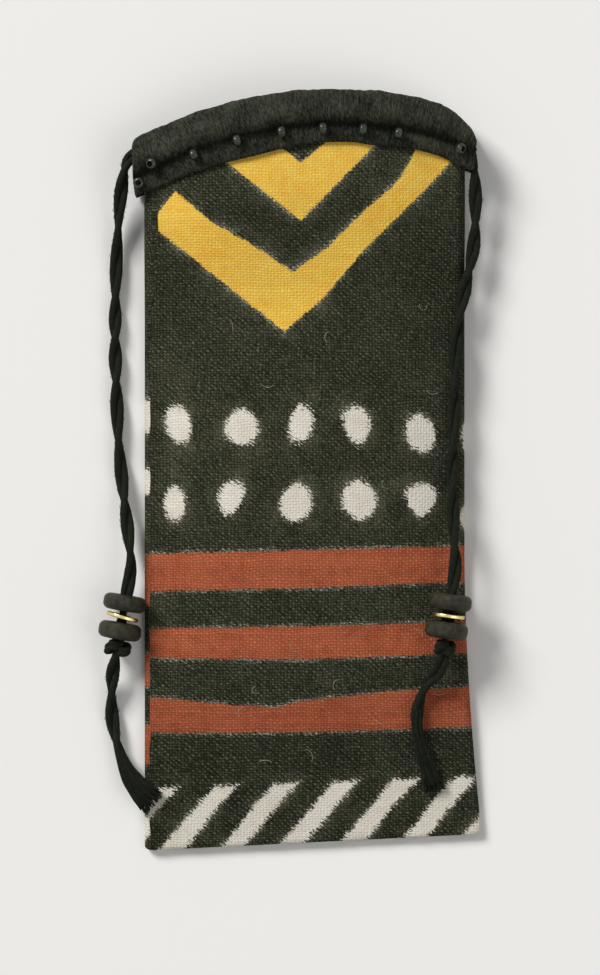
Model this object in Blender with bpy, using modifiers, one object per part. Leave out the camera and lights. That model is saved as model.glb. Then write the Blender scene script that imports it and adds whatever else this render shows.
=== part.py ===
"""Mud cloth pouch with a rolled leather mouth, seed bead stitches and two beaded cords.

The pouch lies on its back on z = 0 with its printed front up and its mouth towards +Y.
Lengths are in metres.
"""

import math

import bmesh
import bpy
from mathutils import Matrix, Vector

MM = 0.001

# Cloth: one piece, folded at the right edge and sewn at the left edge and the bottom.
CLOTH_THICKNESS = 1.1 * MM
LEFT_EDGE_X = -40.6 * MM
RIGHT_EDGE_X = 39.7 * MM
BOTTOM_LEFT_Y = -95.2 * MM
BOTTOM_RIGHT_Y = -91.2 * MM
RIGHT_FLARE = 4.4 * MM
FLARE_START_Y = -20.0 * MM
FLARE_POWER = 1.8
SEAM_EDGE_HEIGHT = 2.7 * MM
FOLD_EDGE_HEIGHT = 4.0 * MM
BODY_CROWN = 6.0 * MM
MOUTH_CROWN = 5.2 * MM
LIFT_START = 0.74
LIFT_SPAN = 0.19

# Leather: one strip folded over the front's mouth edge and one over the back's.
LEATHER_THICKNESS = 0.8 * MM
ROLL_HALF_THICKNESS = 2.4 * MM
ROLL_HEIGHT = 8.65 * MM
FLANGE_HEIGHT = 4.7 * MM
INNER_STUB = 0.6 * MM
INNER_LEAF_LEAST = 0.7 * MM
CLOTH_TAB = 3.5 * MM
SIDE_SLIT = 3.9 * MM
GAP = 0.3 * MM

# The crease between roll and flange is an arc in plan.
ARCH_X = 7.5 * MM
ARCH_TOP_Y = 86.2 * MM
ARCH_RADIUS = 101.95 * MM
ROLL_LEFT_INSET = 0.9 * MM
ROLL_RIGHT_OVERHANG = 1.7 * MM
INNER_LEAF_MARGIN = 3.6 * MM
CORNER_LENGTH = 19.0 * MM
CORNER_END_HEIGHT = 2.3942 * MM
CORNER_FULLNESS = 1.05
LEFT_OVERHANG_LOW = 2.3 * MM
LEFT_OVERHANG_TOP = 3.1 * MM
RIGHT_OVERHANG = 2.5 * MM
END_CUT_LENGTH = 12.0 * MM
END_FLARE_START = 2.5 * MM
END_FLARE_LENGTH = 4.5 * MM
INNER_LEAF_FADE = 2.0 * MM

# Seed beads
SEED_RADIUS = 1.4 * MM
SEED_LENGTH = 2.0 * MM
SEED_HOLE_RADIUS = 0.5 * MM
SEED_ROUNDING = 0.5 * MM

# Cords, disc beads and knots.
CORD_DIAMETER = 3.4 * MM
CORD_STEPS = 2
BORE_RADIUS = 2.1 * MM
DISC_RADIUS = 5.4 * MM
DISC_ROUNDING = 1.5 * MM
UPPER_DISC_THICKNESS = 4.0 * MM
LOWER_DISC_THICKNESS = 4.2 * MM
WASHER_RADIUS = 4.1 * MM
WASHER_THICKNESS = 1.0 * MM
WASHER_ROUNDING = 0.25 * MM
BEAD_SPACING = 1.0 * MM
KNOT_RADIUS = 3.2 * MM
KNOT_LENGTH = 4.0 * MM
KNOT_ROUNDING = 1.0 * MM

ROLL_OUTER = ROLL_HALF_THICKNESS + LEATHER_THICKNESS / 2
LEAF_OFFSET = CLOTH_THICKNESS / 2 + GAP + LEATHER_THICKNESS / 2
BACK_RISE = ROLL_OUTER - CLOTH_THICKNESS / 2
MOUTH_EDGE_HEIGHT = 2 * ROLL_OUTER + GAP + CLOTH_THICKNESS
ARCH_Y = ARCH_TOP_Y - ARCH_RADIUS


def mix(a, b, t):
    return a + (b - a) * t


def ease(t):
    t = min(max(t, 0.0), 1.0)
    return t * t * (3.0 - 2.0 * t)


def right_edge(y):
    """The fold's x at a height y: it flares out towards the flat bottom corner."""
    down = max(0.0, (FLARE_START_Y - y) / (FLARE_START_Y - BOTTOM_RIGHT_Y))
    return RIGHT_EDGE_X + RIGHT_FLARE * min(down, 1.0) ** FLARE_POWER


def bottom_edge(x):
    return mix(BOTTOM_LEFT_Y, BOTTOM_RIGHT_Y, (x - LEFT_EDGE_X) / (RIGHT_EDGE_X - LEFT_EDGE_X))


def arch(x, offset=0.0):
    """The y of the crease at x, or of a line parallel to it."""
    radius = ARCH_RADIUS + offset
    return ARCH_Y + math.sqrt(max(radius**2 - (x - ARCH_X) ** 2, 0.0))


def up_the_pouch(x, y):
    """0 at the bottom edge, 1 at the crease."""
    return (y - bottom_edge(x)) / (arch(x) - bottom_edge(x))


def near_mouth(x, y):
    """0 down the pouch, 1 where the layers have spread for the leather rolls."""
    return ease((up_the_pouch(x, y) - LIFT_START) / LIFT_SPAN)


def back_height(x, y):
    """Height of the back's outer face: it lifts to clear the back's leather roll."""
    return BACK_RISE * near_mouth(x, y)


def edge_heights(x, y):
    """How thick the pouch is at its seam and at its fold."""
    spread = near_mouth(x, y)
    fold = mix(SEAM_EDGE_HEIGHT, FOLD_EDGE_HEIGHT, ease(up_the_pouch(x, y) / 0.25))
    return (
        mix(SEAM_EDGE_HEIGHT, MOUTH_EDGE_HEIGHT, spread),
        mix(fold, MOUTH_EDGE_HEIGHT, spread),
    )


def front_height(x, y):
    """Height of the front's outer face, without the turn at the pouch's two edges."""
    v = up_the_pouch(x, y)
    seam, fold = edge_heights(x, y)
    start, end = LEFT_EDGE_X + seam / 2, right_edge(y) - fold / 2
    p = min(max((x - start) / (end - start), 0.0), 1.0)
    crown = BODY_CROWN * ease(v / 0.55)
    crown = mix(crown, MOUTH_CROWN, ease((v - 0.6) / 0.3))
    dome = (1.0 - abs(2.0 * p - 1.0) ** 3) ** 1.5
    return back_height(x, y) + mix(seam, fold, p) + crown * dome


def new_object(name, mesh, material):
    part = bpy.data.objects.new(name, mesh)
    part.data.materials.append(material)
    PARTS.objects.link(part)
    return part


def from_bmesh(name, bm, material):
    bmesh.ops.recalc_face_normals(bm, faces=bm.faces)
    mesh = bpy.data.meshes.new(name)
    bm.to_mesh(mesh)
    bm.free()
    mesh.shade_smooth()
    mesh.set_sharp_from_angle(angle=math.radians(50))
    return new_object(name, mesh, material)


def solidify(part, thickness, offset):
    wall = part.modifiers.new("wall", "SOLIDIFY")
    wall.thickness = thickness
    wall.offset = offset
    wall.use_even_offset = True


# Cloth body
FACE_COLUMNS = 16
EDGE_PLACES = (0.03, 0.25, 0.5, 0.75, 0.97)
CLOTH_ROWS = 22


def cloth_columns():
    """The columns round the pouch: the side they belong to and their place on it."""
    columns = [("back", i / FACE_COLUMNS) for i in range(FACE_COLUMNS + 1)]
    columns += [("fold", place) for place in EDGE_PLACES]
    columns += [("front", 1 - i / FACE_COLUMNS) for i in range(FACE_COLUMNS + 1)]
    columns += [("seam", place) for place in EDGE_PLACES]
    return columns


def cloth_point(side, place, y):
    """A point of the outer face at height y."""
    left, right = LEFT_EDGE_X, right_edge(y)
    seam, fold = edge_heights(left, y)[0], edge_heights(right, y)[1]
    if side in ("back", "front"):
        x = mix(left + seam / 2, right - fold / 2, place)
        return Vector((x, y, back_height(x, y) if side == "back" else front_height(x, y)))
    radius = (fold if side == "fold" else seam) / 2
    turn = math.pi * (place - 0.5)
    centre = (right - radius) if side == "fold" else (left + radius)
    reach = radius * math.cos(turn) * (1 if side == "fold" else -1)
    lift = radius * math.sin(turn) * (1 if side == "fold" else -1)
    low = back_height(centre, y)
    return Vector((centre + reach, y, low + radius + lift))


def column_span(side, place):
    """The lowest and highest y of a column: tabs enter the leather, the edges stay below it."""
    offset = CLOTH_TAB if side in ("back", "front") else -SIDE_SLIT
    low, high = BOTTOM_LEFT_Y, ARCH_TOP_Y
    for _ in range(4):
        low = bottom_edge(cloth_point(side, place, low).x)
        high = arch(cloth_point(side, place, high).x, offset)
    return low, high


def make_cloth(material):
    bm = bmesh.new()
    columns = cloth_columns()
    grid = []
    for side, place in columns:
        low, high = column_span(side, place)
        rows = [mix(low, high, j / CLOTH_ROWS) for j in range(CLOTH_ROWS + 1)]
        grid.append([bm.verts.new(cloth_point(side, place, y)) for y in rows])
    count = len(columns)
    for i in range(count):
        here, there = grid[i], grid[(i + 1) % count]
        for j in range(CLOTH_ROWS):
            bm.faces.new((here[j], there[j], there[j + 1], here[j + 1]))
    back = [grid[i][0] for i in range(FACE_COLUMNS + 1)]
    first_front = FACE_COLUMNS + 1 + len(EDGE_PLACES)
    front = [grid[first_front + i][0] for i in range(FACE_COLUMNS + 1)][::-1]
    for i in range(FACE_COLUMNS):
        bm.faces.new((back[i + 1], back[i], front[i], front[i + 1]))
    fold = [grid[i][0] for i in range(FACE_COLUMNS, first_front + 1)]
    seam = [grid[i][0] for i in range(first_front + FACE_COLUMNS, count)] + [back[0]]
    bm.faces.new(fold[::-1])
    bm.faces.new(seam[::-1])
    bmesh.ops.triangulate(bm, faces=[f for f in bm.faces if len(f.verts) > 4])
    cloth = from_bmesh("cloth_body", bm, material)
    solidify(cloth, CLOTH_THICKNESS, -1.0)
    return cloth


# Leather bindings
BINDING_STATIONS = 26


def arch_angle(x):
    return math.asin((x - ARCH_X) / ARCH_RADIUS)


ROLL_LEFT_ANGLE = arch_angle(LEFT_EDGE_X + ROLL_LEFT_INSET)
ROLL_RIGHT_ANGLE = arch_angle(RIGHT_EDGE_X + ROLL_RIGHT_OVERHANG)


def on_arch(angle, offset):
    """The plan point at an angle from the arch's top and an offset out from the crease."""
    radius = ARCH_RADIUS + offset
    return ARCH_X + radius * math.sin(angle), ARCH_Y + radius * math.cos(angle)


def end_cut(angle, offset):
    """How far a place on the strip turns so that both its ends are cut straight down."""
    radius = ARCH_RADIUS + offset
    up = min(max((offset + FLANGE_HEIGHT) / (FLANGE_HEIGHT + ROLL_HEIGHT), 0.0), 1.0)
    left_x = LEFT_EDGE_X - mix(LEFT_OVERHANG_LOW, LEFT_OVERHANG_TOP, up)
    left = math.asin((left_x - ARCH_X) / radius) - ROLL_LEFT_ANGLE
    right = math.asin((RIGHT_EDGE_X + RIGHT_OVERHANG - ARCH_X) / radius) - ROLL_RIGHT_ANGLE
    from_left = (angle - ROLL_LEFT_ANGLE) * ARCH_RADIUS / END_CUT_LENGTH
    from_right = (ROLL_RIGHT_ANGLE - angle) * ARCH_RADIUS / END_CUT_LENGTH
    return left * (1.0 - ease(from_left)) + right * (1.0 - ease(from_right))


def section_at(angle, offset):
    """The station whose cut strip passes through a place on the arch."""
    station = angle
    for _ in range(12):
        station = angle - end_cut(station, offset)
    return min(max(station, ROLL_LEFT_ANGLE), ROLL_RIGHT_ANGLE)


def middle_height(x, y, side):
    """Height of the middle of one layer of cloth, run on past its edges."""
    if side == "front":
        return front_height(x, y) - CLOTH_THICKNESS / 2
    return back_height(x, y) + CLOTH_THICKNESS / 2


def roll_height(angle):
    """The roll's height above the crease: at the right corner it rounds off to its end height."""
    along = CORNER_LENGTH - (ROLL_RIGHT_ANGLE - angle) * ARCH_RADIUS
    u = min(max(along / CORNER_LENGTH, 0.0), 1.0) / CORNER_FULLNESS
    drop = 1.0 - math.sqrt(1.0 - u * u)
    whole_drop = 1.0 - math.sqrt(1.0 - 1.0 / CORNER_FULLNESS**2)
    return mix(ROLL_HEIGHT, CORNER_END_HEIGHT, drop / whole_drop)


def binding_section(angle, side):
    """The strip's middle line at one station: outer leaf, roll, inner leaf."""
    x = on_arch(angle, 0.0)[0]
    height = roll_height(angle)
    straight = height - ROLL_HALF_THICKNESS
    to_end = (ROLL_RIGHT_ANGLE - angle) * ARCH_RADIUS
    spread = 1.0 - ease((to_end - END_FLARE_START) / END_FLARE_LENGTH)
    leaf = mix(LEAF_OFFSET, ROLL_HALF_THICKNESS, spread)
    rise = mix(mix(LEAF_OFFSET, ROLL_HALF_THICKNESS, 0.7), ROLL_HALF_THICKNESS, spread)
    outer = [(-FLANGE_HEIGHT, leaf), (-FLANGE_HEIGHT / 2, leaf), (-INNER_STUB, leaf)]
    outer += [(0.2 * straight, rise), (0.55 * straight, ROLL_HALF_THICKNESS)]
    turn = [math.radians(a) for a in range(90, -91, -30)]
    arc = [
        (straight + ROLL_HALF_THICKNESS * math.cos(a), ROLL_HALF_THICKNESS * math.sin(a))
        for a in turn
    ]
    edge_left = ease((x - LEFT_EDGE_X - INNER_LEAF_MARGIN) / INNER_LEAF_FADE)
    edge_right = ease((RIGHT_EDGE_X - INNER_LEAF_MARGIN - x) / INNER_LEAF_FADE)
    inner_length = mix(INNER_LEAF_LEAST, FLANGE_HEIGHT, min(edge_left, edge_right))
    inner = [(s, -t) for s, t in outer[::-1]]
    inner[-1] = (-inner_length, -leaf)
    inner[-2] = (-(INNER_STUB + inner_length) / 2, -leaf)
    line = outer + arc + inner
    return line if side == "front" else [(s, -t) for s, t in line]


def make_binding(name, side, material):
    bm = bmesh.new()
    rows = []
    for k in range(BINDING_STATIONS + 1):
        share = k / BINDING_STATIONS
        angle = mix(ROLL_LEFT_ANGLE, ROLL_RIGHT_ANGLE, 1.0 - (1.0 - share) ** 1.25)
        row = []
        for s, t in binding_section(angle, side):
            x, y = on_arch(angle + end_cut(angle, s), s)
            row.append(bm.verts.new((x, y, middle_height(x, y, side) + t)))
        rows.append(row)
    for a, b in zip(rows, rows[1:]):
        for i in range(len(a) - 1):
            bm.faces.new((a[i], b[i], b[i + 1], a[i + 1]))
    binding = from_bmesh(name, bm, material)
    solidify(binding, LEATHER_THICKNESS, 0.0)
    return binding


# Turned beads, washers and knots
def turned(name, profile, steps, material):
    """A ring turned about its own Z axis from a closed profile of (radius, height) points."""
    mesh = bpy.data.meshes.new(name)
    bm = bmesh.new()
    verts = [bm.verts.new((r, 0.0, z)) for r, z in profile]
    for a, b in zip(verts, verts[1:] + verts[:1]):
        bm.edges.new((a, b))
    bm.to_mesh(mesh)
    bm.free()
    ring = new_object(name, mesh, material)
    screw = ring.modifiers.new("turn", "SCREW")
    screw.steps = steps
    screw.render_steps = steps
    screw.use_merge_vertices = True
    screw.merge_threshold = 0.00001
    screw.use_smooth_shade = True
    return ring


def ring_profile(bore, radius, length, rounding, steps):
    """Outer side from top to bottom with rounded rims, then back up the bore."""
    half = length / 2
    top = [
        (radius - rounding * (1 - math.sin(a)), half - rounding * (1 - math.cos(a)))
        for a in (math.pi / 2 * i / steps for i in range(steps + 1))
    ]
    bottom = [(r, -z) for r, z in top[::-1]]
    return top + bottom + [(bore, -half), (bore, half)]


def place(part, position, axis):
    turn = Vector((0.0, 0.0, 1.0)).rotation_difference(Vector(axis)).to_matrix().to_4x4()
    part.matrix_world = Matrix.Translation(position) @ turn
    return part


# Seed beads: arc length from the arch's top, offset from the crease, lean of the hole's axis
# towards the arch in degrees from upright.
SEED_BEADS = (
    (-52.2 * MM, -1.3 * MM, 8.0),
    (-47.2 * MM, 1.4 * MM, 25.0),
    (-36.6 * MM, -0.9 * MM, 90.0),
    (-25.2 * MM, -0.9 * MM, 90.0),
    (-13.8 * MM, -0.9 * MM, 90.0),
    (-3.4 * MM, -0.9 * MM, 90.0),
    (6.7 * MM, -0.9 * MM, 90.0),
    (15.6 * MM, -0.9 * MM, 90.0),
    (31.7 * MM, -0.9 * MM, -40.0),
)


def leather_top(angle, offset):
    """Height of the front binding's outer face over the crease zone."""
    x, y = on_arch(angle, offset)
    line = binding_section(section_at(angle, offset), "front")[:6]
    for (s0, t0), (s1, t1) in zip(line, line[1:]):
        if s0 <= offset <= s1:
            t = mix(t0, t1, (offset - s0) / (s1 - s0))
            return middle_height(x, y, "front") + t + LEATHER_THICKNESS / 2
    return middle_height(x, y, "front") + line[-1][1] + LEATHER_THICKNESS / 2


def make_seed_beads(material):
    profile = ring_profile(SEED_HOLE_RADIUS, SEED_RADIUS, SEED_LENGTH, SEED_ROUNDING, 1)
    for number, (along, offset, lean) in enumerate(SEED_BEADS, 1):
        bead = turned(f"seed_bead_{number}", profile, 10, material)
        angle = along / ARCH_RADIUS
        tangent = Vector((math.cos(angle), -math.sin(angle), 0.0))
        axis = Matrix.Rotation(math.radians(lean), 3, tangent.cross((0, 0, 1))) @ Vector((0, 0, 1))
        half = SEED_RADIUS * abs(math.sin(math.radians(lean)))
        half += SEED_LENGTH / 2 * abs(math.cos(math.radians(lean)))
        x, y = on_arch(angle, offset)
        place(bead, (x, y, leather_top(angle, offset) + GAP + half), axis)


def make_stack(side, lower_centre, axis, washer_tilt, materials):
    """Two disc beads with a brass washer between them, above the knot that stops them."""
    black, brass, cord = materials
    axis = Vector(axis).normalized()
    lower_centre = Vector(lower_centre)
    washer_at = LOWER_DISC_THICKNESS / 2 + BEAD_SPACING + WASHER_THICKNESS / 2
    upper_at = washer_at + WASHER_THICKNESS / 2 + BEAD_SPACING + UPPER_DISC_THICKNESS / 2
    knot_at = -(LOWER_DISC_THICKNESS / 2 + GAP + KNOT_LENGTH / 2)
    tilt = Matrix.Rotation(math.radians(washer_tilt), 3, "Z")
    lower = ring_profile(BORE_RADIUS, DISC_RADIUS, LOWER_DISC_THICKNESS, DISC_ROUNDING, 3)
    upper = ring_profile(BORE_RADIUS, DISC_RADIUS, UPPER_DISC_THICKNESS, DISC_ROUNDING, 3)
    washer = ring_profile(BORE_RADIUS, WASHER_RADIUS, WASHER_THICKNESS, WASHER_ROUNDING, 1)
    knot = ring_profile(BORE_RADIUS, KNOT_RADIUS, KNOT_LENGTH, KNOT_ROUNDING, 3)
    place(turned(f"{side}_lower_disc_bead", lower, 20, black), lower_centre, axis)
    place(
        turned(f"{side}_brass_washer", washer, 20, brass),
        lower_centre + axis * washer_at,
        tilt @ axis,
    )
    place(turned(f"{side}_upper_disc_bead", upper, 20, black), lower_centre + axis * upper_at, axis)
    place(turned(f"{side}_knot", knot, 16, cord), lower_centre + axis * knot_at, axis)


# Cords: routes in millimetres, from inside the roll's end to the tail's end.
LEFT_AXIS = (0.171, 0.985, 0.0)
LEFT_LOWER_DISC = (-46.7 * MM, -39.9 * MM, 5.7 * MM)
LEFT_ROUTE = (
    (-39.4, 81.0, 8.7), (-42.6, 79.3, 8.7), (-44.6, 77.6, 8.6), (-45.6, 74.9, 8.1),
    (-46.3, 70.4, 6.8), (-46.9, 65.4, 5.2), (-47.4, 58.0, 3.0), (-47.8, 50.0, 1.9),
    (-48.0, 41.0, 1.75), (-48.0, 31.0, 1.75), (-47.7, 20.0, 1.75), (-47.2, 8.0, 1.75),
    (-46.3, -2.0, 2.2), (-45.2, -11.0, 3.8), (-44.3, -18.5, 5.3), (-43.98, -24.2, 5.7),
    (-45.4, -32.8, 5.7), (-46.7, -39.9, 5.7), (-47.9, -46.9, 5.7), (-48.6, -51.0, 4.4),
    (-48.9, -55.5, 2.6), (-48.9, -60.0, 1.8), (-48.3, -65.0, 1.75), (-47.0, -70.0, 2.1),
    (-44.9, -75.2, 3.4), (-42.1, -79.4, 4.8), (-39.1, -82.3, 5.1),
)
RIGHT_AXIS = (0.139, 0.990, 0.0)
RIGHT_LOWER_DISC = (34.95 * MM, -39.6 * MM, 10.3 * MM)
RIGHT_ROUTE = (
    (40.6, 80.4, 8.7), (41.3, 78.0, 8.7), (41.9, 75.6, 8.6), (42.2, 71.5, 8.1),
    (42.3, 66.5, 7.3), (42.2, 60.5, 6.6), (41.5, 54.0, 6.4), (39.8, 46.6, 6.5),
    (38.4, 39.0, 6.4), (37.6, 31.6, 6.5), (37.2, 24.0, 6.5), (36.9, 15.4, 6.5),
    (36.7, 7.0, 6.5), (36.5, -2.0, 6.8), (36.7, -10.9, 8.0), (37.0, -18.4, 9.7),
    (37.16, -23.9, 10.3), (36.0, -32.4, 10.3), (34.95, -39.6, 10.3), (34.0, -46.6, 10.3),
    (32.9, -50.0, 9.0), (30.6, -52.6, 7.5), (28.7, -56.2, 6.7), (27.7, -60.8, 6.4),
    (27.9, -66.0, 6.1), (29.3, -71.0, 5.7), (30.8, -75.4, 5.4), (31.9, -79.0, 5.2),
)


def through(route, steps):
    """Points on a smooth curve through the route's own points."""
    points = [Vector(p) * MM for p in route]
    ends = [points[0] * 2 - points[1]] + points + [points[-1] * 2 - points[-2]]
    curve = []
    for a, b, c, d in zip(ends, ends[1:], ends[2:], ends[3:]):
        for i in range(steps):
            t = i / steps
            curve.append(
                (
                    b * 2
                    + (c - a) * t
                    + (a * 2 - b * 5 + c * 4 - d) * t**2
                    + (b * 3 - a - c * 3 + d) * t**3
                )
                / 2
            )
    return curve + [points[-1]]


def make_cord(name, route, material):
    curve = bpy.data.curves.new(name, "CURVE")
    curve.dimensions = "3D"
    curve.bevel_depth = CORD_DIAMETER / 2
    curve.bevel_resolution = 2
    curve.use_fill_caps = True
    points = through(route, CORD_STEPS)
    line = curve.splines.new("POLY")
    line.points.add(len(points) - 1)
    for spot, point in zip(line.points, points):
        spot.co = (*point, 1.0)
    cord = bpy.data.objects.new(name, curve)
    cord.data.materials.append(material)
    PARTS.objects.link(cord)
    return cord


def plain_material(name, colour, roughness, metallic=0.0):
    material = bpy.data.materials.new(name)
    material.use_nodes = True
    shader = material.node_tree.nodes["Principled BSDF"]
    shader.inputs["Base Color"].default_value = (*colour, 1.0)
    shader.inputs["Roughness"].default_value = roughness
    shader.inputs["Metallic"].default_value = metallic
    return material


# Print: fields of colour on the cloth, placed in plan from the same origin as the cloth.
BAND_EDGES_Y = ((-29.4 * MM, -19.6 * MM), (-46.5 * MM, -38.5 * MM), (-65.4 * MM, -56.6 * MM))
DOT_ROWS_Y = (11.4 * MM, -7.3 * MM)
DOT_FIRST_X = -32.5 * MM
DOT_SPACING = 15.25 * MM
DOT_RADIUS = 4.3 * MM
CHEVRONS = (
    {"tip": (-5.6 * MM, 34.9 * MM), "notch": (-3.4 * MM, 49.9 * MM), "reach": 36.0 * MM},
    {"tip": (-1.4 * MM, 62.4 * MM), "notch": (-1.4 * MM, 76.9 * MM), "reach": 20.0 * MM},
)
CHEVRON_SLOPES = (0.79, 1.0)
STRIPE_TOP_Y = -78.5 * MM
STRIPE_X = -33.6 * MM
STRIPE_PITCH = 14.5 * MM
STRIPE_WIDTH = 6.2 * MM
STRIPE_LEAN = 0.82


class Fields:
    """Small helper that draws flat fields of colour with a material's math nodes."""

    def __init__(self, material):
        self.tree = material.node_tree
        place_node = self.tree.nodes.new("ShaderNodeTexCoord")
        split = self.tree.nodes.new("ShaderNodeSeparateXYZ")
        self.tree.links.new(place_node.outputs["Object"], split.inputs[0])
        self.x, self.y = split.outputs[0], split.outputs[1]

    def math(self, operation, *values):
        node = self.tree.nodes.new("ShaderNodeMath")
        node.operation = operation
        for socket, value in zip(node.inputs, values):
            if isinstance(value, (int, float)):
                socket.default_value = value
            else:
                self.tree.links.new(value, socket)
        return node.outputs[0]

    def between(self, value, low, high):
        above = self.math("GREATER_THAN", value, low)
        return self.math("MULTIPLY", above, self.math("LESS_THAN", value, high))

    def dot(self, x, y, radius):
        across = self.math("POWER", self.math("ABSOLUTE", self.math("SUBTRACT", self.x, x)), 2.0)
        up = self.math("POWER", self.math("ABSOLUTE", self.math("SUBTRACT", self.y, y)), 2.0)
        return self.math("LESS_THAN", self.math("ADD", across, up), radius * radius)

    def wedge(self, corner):
        """How far each place lies above a V with its corner in plan."""
        side = self.math("SUBTRACT", self.x, corner[0])
        left = self.math("MULTIPLY", self.math("MINIMUM", side, 0.0), -CHEVRON_SLOPES[0])
        right = self.math("MULTIPLY", self.math("MAXIMUM", side, 0.0), CHEVRON_SLOPES[1])
        rise = self.math("ADD", left, right)
        return self.math("SUBTRACT", self.math("SUBTRACT", self.y, corner[1]), rise)

    def chevron(self, tip, notch, reach):
        above = self.math("GREATER_THAN", self.wedge(tip), 0.0)
        below = self.math("LESS_THAN", self.wedge(notch), 0.0)
        arms = self.math("MULTIPLY", above, below)
        near = self.between(self.x, tip[0] - reach, tip[0] + 1.3 * reach)
        return self.math("MULTIPLY", arms, near)

    def stripes(self):
        slant = self.math("MULTIPLY", self.math("SUBTRACT", self.y, BOTTOM_LEFT_Y), STRIPE_LEAN)
        along = self.math("SUBTRACT", self.math("SUBTRACT", self.x, slant), STRIPE_X)
        shift = self.math("ADD", self.math("DIVIDE", along, STRIPE_PITCH), 10.5)
        turn = self.math("FRACT", shift)
        half = STRIPE_WIDTH / STRIPE_PITCH / 2
        drawn = self.between(turn, 0.5 - half, 0.5 + half)
        return self.math("MULTIPLY", drawn, self.math("LESS_THAN", self.y, STRIPE_TOP_Y))

    def paint(self, under, mask, colour):
        node = self.tree.nodes.new("ShaderNodeMix")
        node.data_type = "RGBA"
        self.tree.links.new(mask, node.inputs["Factor"])
        if isinstance(under, tuple):
            node.inputs["A"].default_value = under
        else:
            self.tree.links.new(under, node.inputs["A"])
        node.inputs["B"].default_value = colour
        return node.outputs["Result"]


def printed_material(name, ground, red, yellow, white):
    material = plain_material(name, ground, 0.95)
    fields = Fields(material)
    colour = (*ground, 1.0)
    for low, high in BAND_EDGES_Y:
        colour = fields.paint(colour, fields.between(fields.y, low, high), (*red, 1.0))
    for chevron in CHEVRONS:
        colour = fields.paint(colour, fields.chevron(**chevron), (*yellow, 1.0))
    for y in DOT_ROWS_Y:
        for number in range(5):
            dot = fields.dot(DOT_FIRST_X + number * DOT_SPACING, y, DOT_RADIUS)
            colour = fields.paint(colour, dot, (*white, 1.0))
    colour = fields.paint(colour, fields.stripes(), (*white, 1.0))
    shader = material.node_tree.nodes["Principled BSDF"]
    material.node_tree.links.new(colour, shader.inputs["Base Color"])
    return material


for old in list(bpy.data.objects):
    bpy.data.objects.remove(old)
PARTS = bpy.data.collections.new("mud_cloth_pouch")
bpy.context.scene.collection.children.link(PARTS)

mud_cloth = printed_material(
    "mud_cloth",
    ground=(0.045, 0.045, 0.032),
    red=(0.31, 0.075, 0.04),
    yellow=(0.68, 0.44, 0.08),
    white=(0.68, 0.62, 0.55),
)
black_leather = plain_material("black_leather", (0.022, 0.024, 0.018), 0.75)
black_glass = plain_material("black_glass", (0.02, 0.02, 0.02), 0.25)
black_disc = plain_material("black_disc", (0.03, 0.03, 0.022), 0.5)
brass = plain_material("brass", (0.75, 0.55, 0.22), 0.3, 1.0)
black_cord = plain_material("black_cord", (0.012, 0.013, 0.01), 0.9)

make_cloth(mud_cloth)
make_binding("front_binding", "front", black_leather)
make_binding("back_binding", "back", black_leather)
make_seed_beads(black_glass)
make_stack("left", LEFT_LOWER_DISC, LEFT_AXIS, -6.0, (black_disc, brass, black_cord))
make_stack("right", RIGHT_LOWER_DISC, RIGHT_AXIS, 0.0, (black_disc, brass, black_cord))
make_cord("left_cord", LEFT_ROUTE, black_cord)
make_cord("right_cord", RIGHT_ROUTE, black_cord)
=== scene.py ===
import math
import random

import bmesh
import bpy
from mathutils import Matrix, Vector, noise


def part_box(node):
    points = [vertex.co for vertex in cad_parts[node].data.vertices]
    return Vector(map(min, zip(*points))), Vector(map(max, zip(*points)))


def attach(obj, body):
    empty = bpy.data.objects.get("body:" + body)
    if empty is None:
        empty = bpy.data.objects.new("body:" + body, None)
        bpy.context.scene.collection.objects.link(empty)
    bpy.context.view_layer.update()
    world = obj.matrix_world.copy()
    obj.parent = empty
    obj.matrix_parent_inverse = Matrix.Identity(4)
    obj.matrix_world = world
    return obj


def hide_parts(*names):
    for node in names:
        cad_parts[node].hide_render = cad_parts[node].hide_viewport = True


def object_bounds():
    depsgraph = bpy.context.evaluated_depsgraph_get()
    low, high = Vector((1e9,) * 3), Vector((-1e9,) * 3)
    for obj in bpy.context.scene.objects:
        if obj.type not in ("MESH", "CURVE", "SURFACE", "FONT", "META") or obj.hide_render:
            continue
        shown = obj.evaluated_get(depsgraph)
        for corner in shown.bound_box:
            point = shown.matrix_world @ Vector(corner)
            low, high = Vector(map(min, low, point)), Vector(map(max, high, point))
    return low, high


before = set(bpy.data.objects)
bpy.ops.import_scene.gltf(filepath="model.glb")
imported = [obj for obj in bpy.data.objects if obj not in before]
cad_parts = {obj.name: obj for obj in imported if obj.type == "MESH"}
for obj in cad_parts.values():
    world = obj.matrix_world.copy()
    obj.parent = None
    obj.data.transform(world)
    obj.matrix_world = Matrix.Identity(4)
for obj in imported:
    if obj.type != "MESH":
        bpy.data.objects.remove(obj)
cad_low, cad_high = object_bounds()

MM = 0.001
CHANCE = random.Random(7)

# Sizes of the cloth and leather, as in the part
CLOTH_THICKNESS = 1.1 * MM
LEFT_EDGE_X = -40.6 * MM
RIGHT_EDGE_X = 39.7 * MM
BOTTOM_LEFT_Y = -95.2 * MM
BOTTOM_RIGHT_Y = -91.2 * MM
RIGHT_FLARE = 4.4 * MM
FLARE_START_Y = -20.0 * MM
FLARE_POWER = 1.8
SEAM_EDGE_HEIGHT = 2.7 * MM
FOLD_EDGE_HEIGHT = 4.0 * MM
BODY_CROWN = 6.0 * MM
MOUTH_CROWN = 5.2 * MM
LIFT_START = 0.74
LIFT_SPAN = 0.19
LEATHER_THICKNESS = 0.8 * MM
ROLL_HALF_THICKNESS = 2.4 * MM
ROLL_HEIGHT = 8.65 * MM
FLANGE_HEIGHT = 4.7 * MM
INNER_STUB = 0.6 * MM
INNER_LEAF_LEAST = 0.7 * MM
CLOTH_TAB = 3.5 * MM
SIDE_SLIT = 3.9 * MM
GAP = 0.3 * MM
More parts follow.
